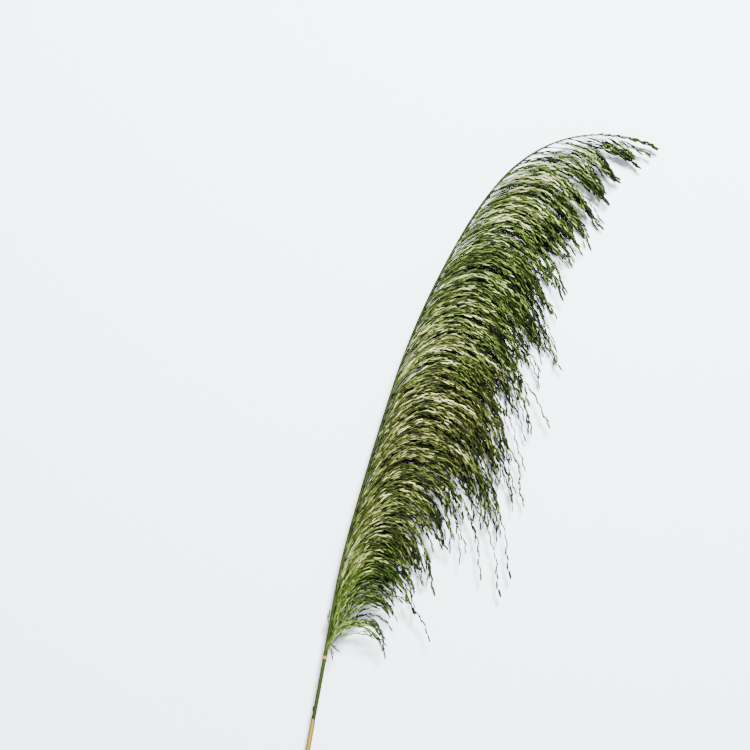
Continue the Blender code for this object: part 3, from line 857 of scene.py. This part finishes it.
# %% Sheath: ochre straw with veins, and a painted highlight in cream along its top
# Fifteen veins to 10 mm across, each some 70 mm long. They give the leaf its dry, fibrous look.
LEAF_ACROSS, LEAF_ALONG = 15 / (10 * MM), 15 / (1000 * MM)
straw, shader = new_material("dry leaf sheath, straw", roughness=0.62, specular=0.20)
straight_place = add_node(straw, "ShaderNodeAttribute", {"attribute_name": "straight"})
straight_at = straight_place.outputs["Vector"]
parts = add_node(straw, "ShaderNodeSeparateXYZ", Vector=straight_at).outputs
vein_space = add_node(
    straw, "ShaderNodeMapping", Vector=straight_at, Scale=(LEAF_ALONG, LEAF_ACROSS, LEAF_ACROSS))
veins = add_node(
    straw, "ShaderNodeTexNoise", Vector=vein_space.outputs["Vector"], Scale=1.0, Detail=3.0)
dry = ramp(straw, veins.outputs["Fac"], ((0.3, "#2A2002"), (0.5, "#403004"), (0.7, "#5A480E")))
# Painted highlight: the top of the sheath is mixed towards cream.
painted_light = add_node(
    straw, "ShaderNodeMapRange", Value=parts["Z"], From_Min=0.0016, From_Max=0.0024, To_Min=0.0,
    To_Max=0.80)
straw_with_highlight = add_node(
    straw, "ShaderNodeMix", {"data_type": "RGBA"}, _0=painted_light.outputs["Result"], _6=dry,
    _7=linear("#927A28"))
straw.node_tree.links.new(straw_with_highlight.outputs[2], shader.inputs["Base Color"])

# %% Materials and rides
for number, piece in enumerate(sprays):
    piece.data.materials.append(spikelet)
    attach(piece, "root")
    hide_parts(f"spray_{number + 1:02d}")
stalk.data.materials.append(culm)
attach(stalk, "root")
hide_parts("stem")
sheath.data.materials.append(straw)
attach(sheath, "root")
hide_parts("leaf_sheath")

# %% [markdown]
# ## Floor, light and camera
#
# The plume lies on plain pale paper. A ring of lamps would light it evenly and flatten it. One
# soft light stands beyond its tip instead, so that it shines along the stalk and across the
# hanging strands, and their shadows fall beneath them. A pale sky fills the shade. The camera
# looks straight down.

# %% Floor: matte paper, a little blue, that the shadows of the strands fall on
FLOOR_HALF = 4.0
paper, shader = new_material("pale paper, matte", roughness=0.85, specular=0.2)
shader.inputs["Base Color"].default_value = linear("#E8EFF6")
floor_body = bmesh.new()
bmesh.ops.create_grid(floor_body, x_segments=1, y_segments=1, size=FLOOR_HALF)
floor = add_piece("floor", floor_body)
floor.data.materials.append(paper)

# %% Light
SKY_STRENGTH = 1.05
LAMP_WIDTH, LAMP_POWER = 0.6, 425.0
LAMP_PLACE = (0.35, 1.35, 2.10)
world = bpy.data.worlds.new("studio")
bpy.context.scene.world = world
world.use_nodes = True
world.node_tree.nodes["Background"].inputs["Color"].default_value = linear("#EEF3F8")
world.node_tree.nodes["Background"].inputs["Strength"].default_value = SKY_STRENGTH

lamp = bpy.data.lights.new("softbox", "AREA")
lamp.shape = "DISK"
lamp.size = LAMP_WIDTH
lamp.energy = LAMP_POWER
softbox = bpy.data.objects.new("softbox", lamp)
bpy.context.scene.collection.objects.link(softbox)
softbox.location = LAMP_PLACE
to_plume = Vector((0.0, 0.0, 0.0)) - softbox.location
softbox.rotation_euler = to_plume.to_track_quat("-Z", "Y").to_euler()

# %% Camera
# The view is 750 mm wide at the plume's mean height. Its middle is given from the plume's base.
CAMERA_HEIGHT = 2.5
FIELD = 0.750
MEAN_HEIGHT = 0.012
MIDDLE = (0.050, 0.281)
SENSOR = 36.0
lens = bpy.data.cameras.new("camera")
lens.sensor_width = SENSOR
lens.lens = SENSOR * (CAMERA_HEIGHT - MEAN_HEIGHT) / FIELD
camera = bpy.data.objects.new("camera", lens)
camera.location = (PLUME_BASE[0] + MIDDLE[0], PLUME_BASE[1] + MIDDLE[1], CAMERA_HEIGHT)
bpy.context.scene.collection.objects.link(camera)
bpy.context.scene.camera = camera

# %% Size of the imported model, and the end
print("cad box", [tuple(round(c, 4) for c in v) for v in cad_box])
